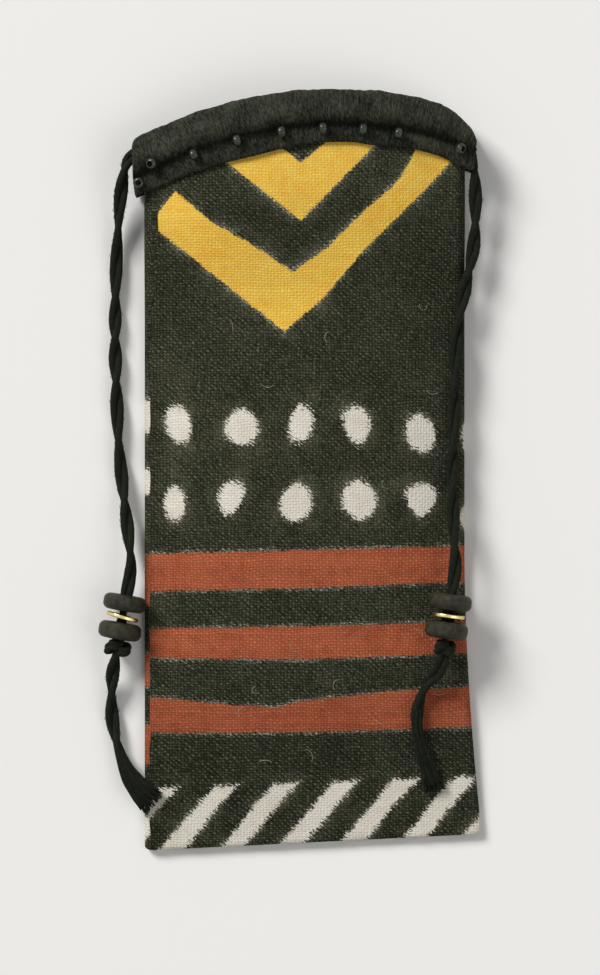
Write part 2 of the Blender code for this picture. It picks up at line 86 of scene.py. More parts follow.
ARCH_X = 7.5 * MM
ARCH_TOP_Y = 86.2 * MM
ARCH_RADIUS = 101.95 * MM
ROLL_LEFT_INSET = 0.9 * MM
ROLL_RIGHT_OVERHANG = 1.7 * MM
INNER_LEAF_MARGIN = 3.6 * MM
CORNER_LENGTH = 15.5 * MM
CORNER_END_HEIGHT = 2.3942 * MM
CORNER_FULLNESS = 1.01
LEFT_OVERHANG_LOW = 2.3 * MM
LEFT_OVERHANG_TOP = 3.1 * MM
RIGHT_OVERHANG = 2.5 * MM
END_CUT_LENGTH = 12.0 * MM
END_FLARE_START = 2.5 * MM
END_FLARE_LENGTH = 4.5 * MM
INNER_LEAF_FADE = 2.0 * MM
SEED_RADIUS = 1.4 * MM
SEED_LENGTH = 2.0 * MM
SEED_HOLE_RADIUS = 0.6 * MM
SEED_ROUNDING = 0.78 * MM
CORD_DIAMETER = 3.4 * MM
BORE_RADIUS = 2.1 * MM
DISC_RADIUS = 5.4 * MM
UPPER_DISC_THICKNESS = 4.0 * MM
LOWER_DISC_THICKNESS = 4.2 * MM
WASHER_RADIUS = 4.1 * MM
WASHER_THICKNESS = 1.0 * MM
BEAD_SPACING = 1.0 * MM
KNOT_LENGTH = 4.0 * MM

ROLL_OUTER = ROLL_HALF_THICKNESS + LEATHER_THICKNESS / 2
LEAF_OFFSET = CLOTH_THICKNESS / 2 + GAP + LEATHER_THICKNESS / 2
BACK_RISE = ROLL_OUTER - CLOTH_THICKNESS / 2
MOUTH_EDGE_HEIGHT = 2 * ROLL_OUTER + GAP + CLOTH_THICKNESS
ARCH_Y = ARCH_TOP_Y - ARCH_RADIUS


def mix(a, b, t):
    return a + (b - a) * t


def ease(t):
    t = min(max(t, 0.0), 1.0)
    return t * t * (3.0 - 2.0 * t)


def right_edge(y):
    down = max(0.0, (FLARE_START_Y - y) / (FLARE_START_Y - BOTTOM_RIGHT_Y))
    return RIGHT_EDGE_X + RIGHT_FLARE * min(down, 1.0) ** FLARE_POWER


def bottom_edge(x):
    return mix(BOTTOM_LEFT_Y, BOTTOM_RIGHT_Y, (x - LEFT_EDGE_X) / (RIGHT_EDGE_X - LEFT_EDGE_X))


def arch(x, offset=0.0):
    """The y of the crease at x, or of a line parallel to it."""
    return ARCH_Y + math.sqrt(max((ARCH_RADIUS + offset) ** 2 - (x - ARCH_X) ** 2, 0.0))


def up_the_pouch(x, y):
    """0 at the bottom edge, 1 at the crease."""
    return (y - bottom_edge(x)) / (arch(x) - bottom_edge(x))


def near_mouth(x, y):
    return ease((up_the_pouch(x, y) - LIFT_START) / LIFT_SPAN)


def back_height(x, y):
    return BACK_RISE * near_mouth(x, y)


def edge_heights(x, y):
    spread = near_mouth(x, y)
    fold = mix(SEAM_EDGE_HEIGHT, FOLD_EDGE_HEIGHT, ease(up_the_pouch(x, y) / 0.25))
    return (
        mix(SEAM_EDGE_HEIGHT, MOUTH_EDGE_HEIGHT, spread),
        mix(fold, MOUTH_EDGE_HEIGHT, spread),
    )


def front_height(x, y):
    v = up_the_pouch(x, y)
    seam, fold = edge_heights(x, y)
    start, end = LEFT_EDGE_X + seam / 2, right_edge(y) - fold / 2
    p = min(max((x - start) / (end - start), 0.0), 1.0)
    crown = BODY_CROWN * ease(v / 0.55)
    crown = mix(crown, MOUTH_CROWN, ease((v - 0.6) / 0.3))
    dome = (1.0 - abs(2.0 * p - 1.0) ** 3) ** 1.5
    return back_height(x, y) + mix(seam, fold, p) + crown * dome


# Camera: straight down, a quarter of a millimetre to the pixel at the print's height
IMAGE_HEIGHT = 975 * 0.25 * MM
VIEW_CENTRE = (-1.6 * MM, -4.0 * MM)
PRINT_HEIGHT = 8.0 * MM
camera_data = bpy.data.cameras.new("camera")
camera_data.lens = 200.0
camera_data.sensor_width = 36.0
camera = bpy.data.objects.new("camera", camera_data)
distance = IMAGE_HEIGHT * camera_data.lens / camera_data.sensor_width
camera.location = (*VIEW_CENTRE, PRINT_HEIGHT + distance)
bpy.context.scene.collection.objects.link(camera)
bpy.context.scene.camera = camera


class Looks:
    """Short names for building one material's nodes. Lengths in it are millimetres."""

    def __init__(self, name, roughness=0.8, **sockets):
        self.material = bpy.data.materials.new(name)
        self.material.use_nodes = True
        self.tree = self.material.node_tree
        self.shader = self.tree.nodes["Principled BSDF"]
        self.shader.inputs["Roughness"].default_value = roughness
        for socket, value in sockets.items():
            self.shader.inputs[socket.replace("_", " ")].default_value = value

    def put(self, socket, value):
        if isinstance(value, bpy.types.NodeSocket):
            self.tree.links.new(value, socket)
        else:
            socket.default_value = value

    def math(self, operation, *values):
        node = self.tree.nodes.new("ShaderNodeMath")
        node.operation = operation
        for socket, value in zip(node.inputs, values):
            self.put(socket, value)
        return node.outputs[0]

    def vector(self, operation, *values):
        node = self.tree.nodes.new("ShaderNodeVectorMath")
        node.operation = operation
        for socket, value in zip(node.inputs, values):
            self.put(socket, value)
        return node.outputs["Value" if operation in ("LENGTH", "DOT_PRODUCT") else "Vector"]

    def place(self, uv=None):
        """Where the surface is, in millimetres: on a flat layout, or in the part's own frame."""
        if uv:
            node = self.tree.nodes.new("ShaderNodeUVMap")
            node.uv_map = uv
            return self.vector("MULTIPLY", node.outputs[0], (1000.0, 1000.0, 0.0))
        node = self.tree.nodes.new("ShaderNodeTexCoord")
        return self.vector("MULTIPLY", node.outputs["Object"], (1000.0, 1000.0, 1000.0))

    def split(self, vector):
        node = self.tree.nodes.new("ShaderNodeSeparateXYZ")
        self.put(node.inputs[0], vector)
        return node.outputs[0], node.outputs[1], node.outputs[2]

    def join(self, x, y, z=0.0):
        node = self.tree.nodes.new("ShaderNodeCombineXYZ")
        for socket, value in zip(node.inputs, (x, y, z)):
            self.put(socket, value)
        return node.outputs[0]

    def turned(self, where, angle):
        """The same places, measured along and across a slanted direction."""
        x, y, _ = self.split(where)
        right, up = math.cos(angle), math.sin(angle)
        along = self.math("MULTIPLY_ADD", x, right, self.math("MULTIPLY", y, up))
        across = self.math("MULTIPLY_ADD", y, right, self.math("MULTIPLY", x, -up))
        return self.join(along, across)

    def grain(self, where, size, stretch=(1.0, 1.0, 1.0), detail=3.0):
        """Noise from -0.5 to 0.5 with features of about a size."""
        node = self.tree.nodes.new("ShaderNodeTexNoise")
        self.put(node.inputs["Vector"], self.vector("DIVIDE", where, stretch))
        node.inputs["Scale"].default_value = 1.0 / size
        node.inputs["Detail"].default_value = detail
        return self.math("SUBTRACT", node.outputs[0], 0.5)

    def chance(self, where):
        node = self.tree.nodes.new("ShaderNodeTexWhiteNoise")
        node.noise_dimensions = "3D"
        self.put(node.inputs["Vector"], where)
        return node.outputs["Value"]

    def step(self, value, low, high):
        node = self.tree.nodes.new("ShaderNodeMapRange")
        node.interpolation_type = "SMOOTHSTEP"
        for socket, given in zip(node.inputs, (value, low, high, 0.0, 1.0)):
            self.put(socket, given)
        return node.outputs[0]

    def blend(self, share, a, b):
        node = self.tree.nodes.new("ShaderNodeMix")
        node.data_type = "RGBA"
        self.put(node.inputs["Factor"], share)
        for key, colour in (("A", a), ("B", b)):
            socket = [s for s in node.inputs if s.name == key and s.type == "RGBA"][0]
            self.put(socket, (*colour, 1.0) if isinstance(colour, tuple) else colour)
        return [s for s in node.outputs if s.type == "RGBA"][0]

    def along_curve(self, x, points):
        """A height read from a line through a few points, all in millimetres."""
        node = self.tree.nodes.new("ShaderNodeFloatCurve")
        low, high = points[0][0], points[-1][0]
        bottom = min(p[1] for p in points) - 1.0
        top = max(p[1] for p in points) + 1.0
        line = node.mapping.curves[0]
        spots = [((px - low) / (high - low), (py - bottom) / (top - bottom)) for px, py in points]
        line.points[0].location = spots[0]
        line.points[1].location = spots[-1]
        for spot in spots[1:-1]:
            line.points.new(*spot)
        for spot in line.points:
            spot.handle_type = "VECTOR"
        node.mapping.update()
        share = self.math("DIVIDE", self.math("SUBTRACT", x, low), high - low)
        share = self.math("MINIMUM", self.math("MAXIMUM", share, 0.0), 1.0)
        self.put(node.inputs["Value"], share)
        return self.math("MULTIPLY_ADD", node.outputs[0], top - bottom, bottom)

    def bump(self, height, depth):
        """The surface's relief, its depth in millimetres."""
        node = self.tree.nodes.new("ShaderNodeBump")
        node.inputs["Strength"].default_value = 1.0
        node.inputs["Distance"].default_value = depth * MM
        self.put(node.inputs["Height"], height)
        self.put(self.shader.inputs["Normal"], node.outputs[0])

    def colour(self, colour):
        self.put(self.shader.inputs["Base Color"], colour)
        return self.material


# Mud cloth
WARP_PITCH = 0.78
WEFT_PITCH = 0.68
BRISTLE_LEAN = -0.52
BLACK_DEEP = (0.009, 0.010, 0.005)
BLACK_WORN = (0.104, 0.106, 0.067)
FRINGE = (0.58, 0.55, 0.46)
YELLOW = (0.88, 0.58, 0.095)
YELLOW_WARM = (0.86, 0.47, 0.062)
WHITE = (0.78, 0.735, 0.645)
WHITE_DULL = (0.72, 0.665, 0.555)
RED = (0.455, 0.122, 0.057)
RED_DULL = (0.345, 0.084, 0.036)

LARGE_V_LOW = (
    (-38.5, 62.1), (-37.4, 60.4), (-5.6, 34.9), (3.6, 42.6), (15.1, 55.9), (27.4, 67.9),
    (36.0, 77.2),
)
LARGE_V_HIGH = (
    (-38.5, 62.6), (-32.9, 70.1), (-23.4, 62.1), (-15.4, 57.9), (-3.4, 49.9), (5.4, 56.1),
    (13.1, 63.9), (21.4, 71.1), (23.9, 74.1), (25.6, 77.2), (27.1, 80.1), (36.0, 90.0),
)
SMALL_V_LOW = ((-22.0, 79.0), (-19.6, 76.6), (-1.4, 62.4), (16.9, 80.9), (20.0, 84.0))
SMALL_V_HIGH = ((-22.0, 90.0), (-12.0, 86.0), (-5.4, 80.1), (-1.4, 76.9), (3.4, 80.9), (20.0, 95.0))
# Dots: centre, half width and height, lean to the right, widening to the top
DOTS = (
    (-32.1, 11.9, 3.2, 4.6, -0.15, 0.0), (-16.1, 11.1, 4.1, 4.4, 0.0, -0.1),
    (-1.4, 11.9, 3.0, 4.5, 0.1, 0.0), (12.6, 11.5, 3.2, 4.7, -0.1, 0.25),
    (28.5, 9.6, 3.7, 4.7, -0.1, 0.0),
    (-33.0, -8.0, 2.6, 4.2, 0.0, 0.0), (-18.9, -6.6, 3.0, 4.1, 0.2, 0.2),
    (-2.6, -7.7, 3.9, 4.7, 0.1, -0.1), (13.2, -7.1, 4.2, 4.8, -0.05, 0.0),
    (28.7, -7.1, 3.7, 4.0, 0.0, 0.35),
)
BACK_DOT_PITCH = 16.3
BAND_EDGES = (
    (
        ((-41.0, -20.6), (0.0, -19.6), (40.0, -18.6), (124.0, -20.9)),
        ((-41.0, -30.1), (0.0, -29.2), (40.0, -27.6), (124.0, -33.9)),
    ),
    (
        ((-41.0, -39.4), (0.0, -38.7), (40.0, -37.6), (124.0, -45.6)),
        ((-41.0, -46.8), (0.0, -47.1), (40.0, -45.6), (124.0, -54.1)),
    ),
    (
        ((-41.0, -56.4), (-25.0, -57.9), (-8.0, -59.1), (-1.6, -57.6), (19.4, -55.1),
         (40.0, -54.0), (124.0, -63.4)),
        ((-41.0, -65.6), (0.0, -65.4), (40.0, -64.1), (124.0, -73.4)),
    ),
)
STRIPE_PITCH = 14.6
STRIPE_LEAN = 0.84
STRIPE_FOOT_X = -33.6
STRIPE_FOOT_Y = -94.6
STRIPE_HALF_WIDTH = 2.2
STRIPE_TOPS = ((-41.0, -79.6), (0.0, -78.2), (40.0, -76.6), (124.0, -79.0))


def lowest(looks, *fields):
    found = fields[0]
    for field in fields[1:]:
        found = looks.math("MINIMUM", found, field)
    return found


def highest(looks, *fields):
    found = fields[0]
    for field in fields[1:]:
        found = looks.math("MAXIMUM", found, field)
    return found


def chevron_field(looks, x, y, low, high):
    """How far inside a painted V each place lies."""
    above = looks.math("SUBTRACT", y, looks.along_curve(x, low))
    below = looks.math("SUBTRACT", looks.along_curve(x, high), y)
    sides = lowest(
        looks,
        looks.math("SUBTRACT", x, low[0][0]),
        looks.math("SUBTRACT", high[-1][0], x),
    )
    return lowest(looks, looks.math("MULTIPLY", lowest(looks, above, below), 0.74), sides)


def dot_field(looks, where, x, y, width, height, lean=0.0, widening=0.0):
    across, up, _ = looks.split(looks.vector("SUBTRACT", where, (x, y, 0.0)))
    across = looks.math("MULTIPLY_ADD", up, -lean, across)
    wide = looks.math("MULTIPLY_ADD", up, widening * width / height, width)
    scaled = looks.join(looks.math("DIVIDE", across, wide), looks.math("DIVIDE", up, height))
    reach = looks.vector("LENGTH", scaled)
    return looks.math("MULTIPLY", looks.math("SUBTRACT", 1.0, reach), min(width, height))


def band_field(looks, x, y, top, bottom):
    under = looks.math("SUBTRACT", looks.along_curve(x, top), y)
    over = looks.math("SUBTRACT", y, looks.along_curve(x, bottom))
    return lowest(looks, under, over)


def stripe_field(looks, where, x, y):
    rise = looks.math("SUBTRACT", y, STRIPE_FOOT_Y)
    foot = looks.math("MULTIPLY_ADD", rise, -STRIPE_LEAN, x)
    foot = looks.math("MULTIPLY_ADD", looks.grain(where, 8.0), 2.2, foot)
    turn = looks.math("DIVIDE", looks.math("SUBTRACT", foot, STRIPE_FOOT_X), STRIPE_PITCH)
    turn = looks.math("FRACT", looks.math("ADD", turn, 20.5))
    off = looks.math("ABSOLUTE", looks.math("SUBTRACT", turn, 0.5))
    inside = looks.math("MULTIPLY_ADD", off, -STRIPE_PITCH * 0.77, STRIPE_HALF_WIDTH)
    below = looks.math("SUBTRACT", looks.along_curve(x, STRIPE_TOPS), y)
    return lowest(looks, inside, below)


def make_cloth_looks():
    looks = Looks("mud_cloth", 0.95, Specular_IOR_Level=0.06)
    where = looks.place("cloth")
    x, y, _ = looks.split(where)

    # Plain weave, in which the slubby weft stands proud of the warp
    wander_x = looks.grain(where, 6.0, (1.0, 2.5, 1.0))
    wander_y = looks.grain(looks.vector("ADD", where, (300.0, 0.0, 0.0)), 5.0, (2.5, 1.0, 1.0))
    warp = looks.math("MULTIPLY_ADD", wander_x, 2.6, looks.math("DIVIDE", x, WARP_PITCH))
    weft = looks.math("MULTIPLY_ADD", wander_y, 3.2, looks.math("DIVIDE", y, WEFT_PITCH))
    across = looks.math("SINE", looks.math("MULTIPLY", warp, math.pi))
    leaning = looks.math("MULTIPLY_ADD", looks.math("FRACT", warp), 0.45, weft)
    along = looks.math("SINE", looks.math("MULTIPLY", leaning, math.pi))
    turn = looks.math("MULTIPLY", across, along)
    warp_thread = looks.math("POWER", looks.math("ABSOLUTE", across), 0.8)
    weft_thread = looks.math("POWER", looks.math("ABSOLUTE", along), 0.6)
    weave = highest(
        looks,
        looks.math("MULTIPLY", warp_thread, looks.math("MULTIPLY_ADD", turn, -0.32, 0.32)),
        looks.math("MULTIPLY", weft_thread, looks.math("MULTIPLY_ADD", turn, 0.50, 0.50)),
    )
    crossing = looks.join(looks.math("FLOOR", warp), looks.math("FLOOR", leaning))
    float_tone = looks.chance(crossing)
    thread = looks.chance(looks.join(0.0, looks.math("FLOOR", weft), 5.0))
    slub = looks.grain(looks.turned(where, -0.35), 0.30, (2.4, 1.0, 1.0))
    fibre = looks.grain(where, 0.16, detail=2.0)

    # Dye edges: small waves, and for the white long bristles that all lean one way
    blotch = looks.grain(where, 2.4)
    bristle = looks.grain(looks.turned(where, BRISTLE_LEAN), 0.36, (3.6, 1.0, 1.0))
    rough = looks.math("MULTIPLY_ADD", blotch, 1.0, looks.math("MULTIPLY_ADD", weave, 0.3, -0.18))
    rough = looks.math("MULTIPLY_ADD", slub, 1.2, rough)
    brushed = looks.math("MULTIPLY_ADD", bristle, 4.4, rough)

    yellow = highest(
        looks,
        chevron_field(looks, x, y, LARGE_V_LOW, LARGE_V_HIGH),
        chevron_field(looks, x, y, SMALL_V_LOW, SMALL_V_HIGH),
    )
    dots = [dot_field(looks, where, *dot) for dot in DOTS]
    for number in range(6):
        far = number / 5
        u = 42.5 + BACK_DOT_PITCH * number
        width, height = CHANCE.uniform(3.0, 4.3), CHANCE.uniform(4.1, 4.9)
        dots.append(dot_field(looks, where, u, mix(8.9, 13.9, far), width, height))
        dots.append(dot_field(looks, where, u, mix(-11.6, -2.5, far), height, width))
    white = highest(looks, *dots, stripe_field(looks, where, x, y))
    red = highest(looks, *[band_field(looks, x, y, *edges) for edges in BAND_EDGES])

    # The black ground: lighter on the thread crowns and darker in the gaps between threads, which is
    # painted shade of the weave, with random worn crossings, slubs and lighter rubbed patches near the
    # yellow and white
    worn_and_gap_shade = looks.math("MULTIPLY", weave, looks.math("MULTIPLY_ADD", float_tone, 0.50, 0.55))
    worn_and_gap_shade = looks.math("MULTIPLY_ADD", slub, 1.3, worn_and_gap_shade)
    worn_and_gap_shade = looks.math("MULTIPLY_ADD", looks.grain(where, 14.0), 0.35, worn_and_gap_shade)
    # Darker towards the bottom of the pouch
    towards_bottom = looks.step(y, -42.0, -84.0)
    worn_and_gap_shade = looks.math("MULTIPLY_ADD", towards_bottom, -0.12, worn_and_gap_shade)
    patch = looks.step(looks.grain(where, 7.0), -0.16, 0.12)
    rubbed = looks.step(highest(looks, yellow, white), -4.5, 0.0)
    worn_and_gap_shade = looks.math("MULTIPLY_ADD", looks.math("MULTIPLY", rubbed, patch), 0.24, worn_and_gap_shade)
    black = looks.blend(looks.step(worn_and_gap_shade, 0.02, 1.1), BLACK_DEEP, BLACK_WORN)
    halo = looks.math("MULTIPLY_ADD", brushed, 0.8, highest(looks, yellow, white, red))
    halo = looks.math("MULTIPLY", looks.step(halo, -0.95, 0.10), looks.step(slub, -0.16, 0.14))
    halo = looks.math("MULTIPLY", halo, looks.math("MULTIPLY_ADD", patch, 0.85, 0.15))
    colour = looks.blend(looks.math("MULTIPLY", halo, weave), black, FRINGE)
    # Paints: darker in the gaps between threads and lighter on their crowns, as painted shade of the
    # weave, with random thread and slub tone; red and white are also darker towards the bottom
    tone = looks.math("MULTIPLY_ADD", thread, 0.12, looks.math("MULTIPLY", weave, 0.80))
    tone = looks.math("MULTIPLY_ADD", slub, 0.75, tone)
    uneven = looks.step(looks.math("ADD", blotch, looks.grain(where, 15.0)), -0.22, 0.38)
    for field, edge, paint, other, low, high, dimmed in (
        (red, rough, RED, RED_DULL, 0.38, 1.42, 0.28),
        (yellow, rough, YELLOW, YELLOW_WARM, 0.76, 1.08, 0.0),
        (white, brushed, WHITE, WHITE_DULL, 0.80, 1.03, 0.06),
    ):
        level = looks.math("MULTIPLY_ADD", tone, high - low, low)
        level = looks.math("MULTIPLY", level, looks.math("MULTIPLY_ADD", towards_bottom, -dimmed, 1.0))
        shade = looks.blend(uneven, paint, other)
        shade = looks.vector("MULTIPLY", shade, looks.join(level, level, level))
        cover = looks.step(looks.math("ADD", field, edge), -0.20, 0.30)
        colour = looks.blend(cover, colour, shade)
    looks.bump(looks.math("MULTIPLY_ADD", fibre, 0.35, weave), 0.22)
    return looks.colour(colour)


def make_leather_looks():
    looks = Looks("black_leather", 0.80, Specular_IOR_Level=0.10)
    where = looks.place("strip")
    _, up, _ = looks.split(where)
    nap = looks.grain(looks.turned(where, 0.25), 0.42, (0.7, 2.4, 1.0), detail=4.0)
    crease = looks.grain(where, 1.0, (0.7, 4.0, 1.0))
    cloud = looks.grain(where, 6.0)
    from_crease = looks.math("SUBTRACT", up, FLANGE_HEIGHT / MM + 0.3)
    # Painted shade: the leather is darker along the sewn crease
    crease_shade = looks.step(looks.math("ABSOLUTE", from_crease), 2.2, 0.2)
    on_roll = looks.step(from_crease, 0.5, 3.5)
    tone = looks.math("MULTIPLY_ADD", crease, 0.9, looks.math("MULTIPLY_ADD", nap, 1.9, cloud))
    # Painted light: the roll above the crease is lighter than the flange
    tone = looks.math("MULTIPLY_ADD", on_roll, 0.14, tone)
    tone = looks.math("MULTIPLY_ADD", crease_shade, -0.34, tone)
    # A lighter patch on the flange, right of the middle
    spot = looks.vector("DIVIDE", looks.vector("SUBTRACT", where, (22.5, 2.7, 0.0)), (8.0, 2.4, 1.0))
    pale_spot = looks.step(looks.vector("LENGTH", spot), 1.1, 0.2)
    tone = looks.math("MULTIPLY_ADD", pale_spot, 0.30, tone)
    looks.bump(looks.math("MULTIPLY_ADD", crease, 2.2, nap), 0.46)
    deep, lit = (0.002, 0.003, 0.001), (0.056, 0.061, 0.042)
    return looks.colour(looks.blend(looks.step(tone, -0.42, 0.78), deep, lit))


def make_plain_looks(name, dark, light, size, depth, roughness, **sockets):
    """A turned or drawn piece: two close tones and a fine relief."""
    looks = Looks(name, roughness, **sockets)
    where = looks.place()
    fine = looks.grain(where, size)
    broad = looks.grain(where, size * 6.0)
    tone = looks.math("ADD", fine, broad)
    looks.bump(fine, depth)
    looks.put(
        looks.shader.inputs["Roughness"],
        looks.math("MULTIPLY_ADD", broad, 0.25, roughness),
    )
    return looks.colour(looks.blend(looks.step(tone, -0.35, 0.35), dark, light))


mud_cloth = make_cloth_looks()
black_leather = make_leather_looks()
black_glass = make_plain_looks(
    "black_glass", (0.008, 0.010, 0.006), (0.030, 0.034, 0.022), 0.4, 0.02, 0.16,
    Specular_IOR_Level=0.36,
)
black_disc = make_plain_looks(
    "black_disc", (0.004, 0.004, 0.0015), (0.044, 0.042, 0.024), 0.24, 0.26, 0.42,
    Specular_IOR_Level=0.16,
)
brass = make_plain_looks(
    "brass", (0.58, 0.45, 0.17), (0.82, 0.67, 0.31), 0.3, 0.02, 0.26, Metallic=1.0
)
black_cord = make_plain_looks(
    "black_cord", (0.003, 0.004, 0.002), (0.014, 0.016, 0.010), 0.16, 0.14, 0.95,
    Specular_IOR_Level=0.15,
)

loose_hair = make_plain_looks(
    "loose_hair", (0.20, 0.19, 0.15), (0.42, 0.40, 0.33), 0.5, 0.02, 0.90, Specular_IOR_Level=0.2
)


def add_piece(name, mesh, material, body, replaces=()):
    mesh.shade_smooth()
    piece = bpy.data.objects.new(name, mesh)
    piece.data.materials.append(material)
    bpy.context.scene.collection.objects.link(piece)
    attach(piece, body)
    if replaces:
        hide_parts(*replaces)
    return piece


def through(points, steps):
    """Points on a smooth curve through the given ones."""
    ends = [points[0] * 2 - points[1], *points, points[-1] * 2 - points[-2]]
    curve = []
    for a, b, c, d in zip(ends, ends[1:], ends[2:], ends[3:]):
        for i in range(steps):
            t = i / steps
            turn = (a * 2 - b * 5 + c * 4 - d) * t**2 + (b * 3 - a - c * 3 + d) * t**3
            curve.append((b * 2 + (c - a) * t + turn) / 2)
    return curve + [points[-1]]


def evenly(points, spacing):
    """The same line with its points a set distance apart."""
    reach = [0.0]
    for a, b in zip(points, points[1:]):
        reach.append(reach[-1] + (b - a).length)
    count = max(int(reach[-1] / spacing), 2)
    spots, k = [], 0
    for i in range(count + 1):
        goal = reach[-1] * i / count
        while k < len(points) - 2 and reach[k + 1] < goal:
            k += 1
        span = max(reach[k + 1] - reach[k], 1e-9)
        spots.append(points[k].lerp(points[k + 1], min((goal - reach[k]) / span, 1.0)))
    return spots


def frames(points):
    """Two directions across a line at each of its points, turning as little as possible."""
    found = []
    side = Vector((0.0, 0.0, 1.0))
    for i in range(len(points)):
        ahead = (points[min(i + 1, len(points) - 1)] - points[max(i - 1, 0)]).normalized()
        side = side - ahead * side.dot(ahead)
        if side.length < 1e-6:
            side = ahead.orthogonal()
        side.normalize()
        found.append((side.copy(), ahead.cross(side)))
    return found


def add_tube(bm, points, radius, sides=10):
    """A closed tube along points; radius is one number or one for each point."""
    radii = radius if isinstance(radius, list) else [radius] * len(points)
    rings = []
    for point, (a, b), r in zip(points, frames(points), radii):
        turns = [2 * math.pi * k / sides for k in range(sides)]
        rings.append([bm.verts.new(point + (a * math.cos(t) + b * math.sin(t)) * r) for t in turns])
    for near, far in zip(rings, rings[1:]):
        for k in range(sides):
            bm.faces.new((near[k], near[(k + 1) % sides], far[(k + 1) % sides], far[k]))
    bm.faces.new(rings[0][::-1])
    bm.faces.new(rings[-1])


def finish_mesh(bm, name):
    bmesh.ops.recalc_face_normals(bm, faces=bm.faces)
    mesh = bpy.data.meshes.new(name)
    bm.to_mesh(mesh)
    bm.free()
    return mesh


# Cords: routes in millimetres, as in the part
LEFT_ROUTE = (
    (-39.4, 81.0, 8.7), (-42.6, 79.3, 8.7), (-44.6, 77.6, 8.6), (-45.6, 74.9, 8.1),
    (-46.3, 70.4, 6.8), (-46.9, 65.4, 5.2), (-47.4, 58.0, 3.0), (-47.8, 50.0, 1.9),
    (-48.0, 41.0, 1.75), (-48.0, 31.0, 1.75), (-47.7, 20.0, 1.75), (-47.2, 8.0, 1.75),
    (-46.3, -2.0, 2.2), (-45.2, -11.0, 3.8), (-44.3, -18.5, 5.3), (-43.98, -24.2, 5.7),
    (-45.4, -32.8, 5.7), (-46.7, -39.9, 5.7), (-47.9, -46.9, 5.7), (-48.6, -51.0, 4.4),
    (-48.9, -55.5, 2.6), (-48.9, -60.0, 1.8), (-48.3, -65.0, 1.75), (-47.0, -70.0, 2.1),
    (-44.9, -75.2, 3.4), (-42.1, -79.4, 4.8), (-39.1, -82.3, 5.1),
)
RIGHT_ROUTE = (
    (40.6, 80.4, 8.7), (41.3, 78.0, 8.7), (41.9, 75.6, 8.6), (42.2, 71.5, 8.1),
    (42.3, 66.5, 7.3), (42.2, 60.5, 6.6), (41.5, 54.0, 6.4), (39.8, 46.6, 6.5),
    (38.4, 39.0, 6.4), (37.6, 31.6, 6.5), (37.2, 24.0, 6.5), (36.9, 15.4, 6.5),
    (36.7, 7.0, 6.5), (36.5, -2.0, 6.8), (36.7, -10.9, 8.0), (37.0, -18.4, 9.7),
    (37.16, -23.9, 10.3), (36.0, -32.4, 10.3), (34.95, -39.6, 10.3), (34.0, -46.6, 10.3),
    (32.9, -50.0, 9.0), (30.6, -52.6, 7.5), (28.7, -56.2, 6.7), (27.7, -60.8, 6.4),
    (27.9, -66.0, 6.1), (29.3, -71.0, 5.7), (30.8, -75.4, 5.4), (31.9, -79.0, 5.2),
)
STRAND_RADIUS = 0.88 * MM
TWIST_PITCH = 27.0 * MM
FIBRE_RADIUS = 0.05 * MM
PATH_SPACING = 0.45 * MM
# Frayed ends: how many steps of the path, half width at the start and end, reach beyond
TAILS = {
    "left": (40, 0.8 * MM, 3.45 * MM, 2.0 * MM),
    "right": (46, 1.0 * MM, 2.2 * MM, 1.3 * MM),
}
TAIL_FIBRES = 240
BEAD_TRAVEL = (-47.0 * MM, -20.0 * MM)
TAIL_FIBRE_RADIUS = 0.13 * MM


def strand(path, number, phase):
    """One strand of a loosely twisted pair, and its thickness along the way."""
    points, radii = [], []
    reach = 0.0
    for i, (point, (a, b)) in enumerate(zip(path, frames(path))):
        reach += (point - path[i - 1]).length if i else 0.0
        drift = noise.noise(Vector((reach * 35, phase, 0)))
        slack = 1.0 + 0.12 * drift
        turn = 2 * math.pi * reach / TWIST_PITCH + 1.6 * drift + number * math.pi + phase
        away = (CORD_DIAMETER / 2 - STRAND_RADIUS) * slack
        points.append(point + (a * math.cos(turn) + b * math.sin(turn)) * away)
        radii.append(STRAND_RADIUS * (1 + 0.07 * noise.noise(point * 900)))
    return points, radii


def add_fuzz(bm, strands):
    """Short fibres that stand a little off the strands, but not where the beads slide."""
    for _ in range(700):
        points = strands[CHANCE.randrange(2)]
        i = CHANCE.randrange(6, len(points) - 12)
        if BEAD_TRAVEL[0] < points[i].y < BEAD_TRAVEL[1]:
            continue
        ahead = (points[i + 1] - points[i]).normalized()
        turn = CHANCE.uniform(0.0, 2 * math.pi)
        side = ahead.orthogonal().normalized()
        out = side * math.cos(turn) + ahead.cross(side) * math.sin(turn)
        start = points[i] + out * STRAND_RADIUS * 0.9
        along = ahead * CHANCE.uniform(-0.7, 0.7) * MM
        lift = CHANCE.uniform(0.12, 0.30) * MM
        add_tube(bm, [start, start + out * lift + along, start + out * lift * 1.5 + along * 2],
                 FIBRE_RADIUS, 3)


def add_tail(bm, tail, start_width, end_width, reach):
    """The frayed end: fibres that spread into a flat brush."""
    ahead = (tail[-1] - tail[-4]).normalized()
    for _ in range(TAIL_FIBRES):
        spread = CHANCE.uniform(-1.0, 1.0)
        level = CHANCE.uniform(-1.0, 1.0) * math.sqrt(1.0 - 0.8 * spread * spread)
        trim = CHANCE.randrange(0, 5)
        phase = CHANCE.uniform(0.0, 100.0)
        points = []
        for step in range(0, len(tail) - trim, 3):
            t = step / len(tail)
            forward = tail[min(step + 1, len(tail) - 1)] - tail[max(step - 1, 0)]
            side = forward.cross(Vector((0.0, 0.0, 1.0))).normalized()
            out = spread * mix(start_width, end_width, t ** 1.1)
            out += 0.25 * MM * noise.noise(Vector((t * 4.0, phase, 0.0)))
            high = level * mix(1.2, 0.8, t) * MM - 0.5 * t * MM
            points.append(tail[step] + side * out + Vector((0.0, 0.0, high)))
        beyond = reach * CHANCE.uniform(0.4, 1.0) * (1.0 - 0.3 * spread * spread)
        points.append(points[-1] + ahead * beyond + side * spread * 0.3 * MM)
        add_tube(bm, points, TAIL_FIBRE_RADIUS, 5)


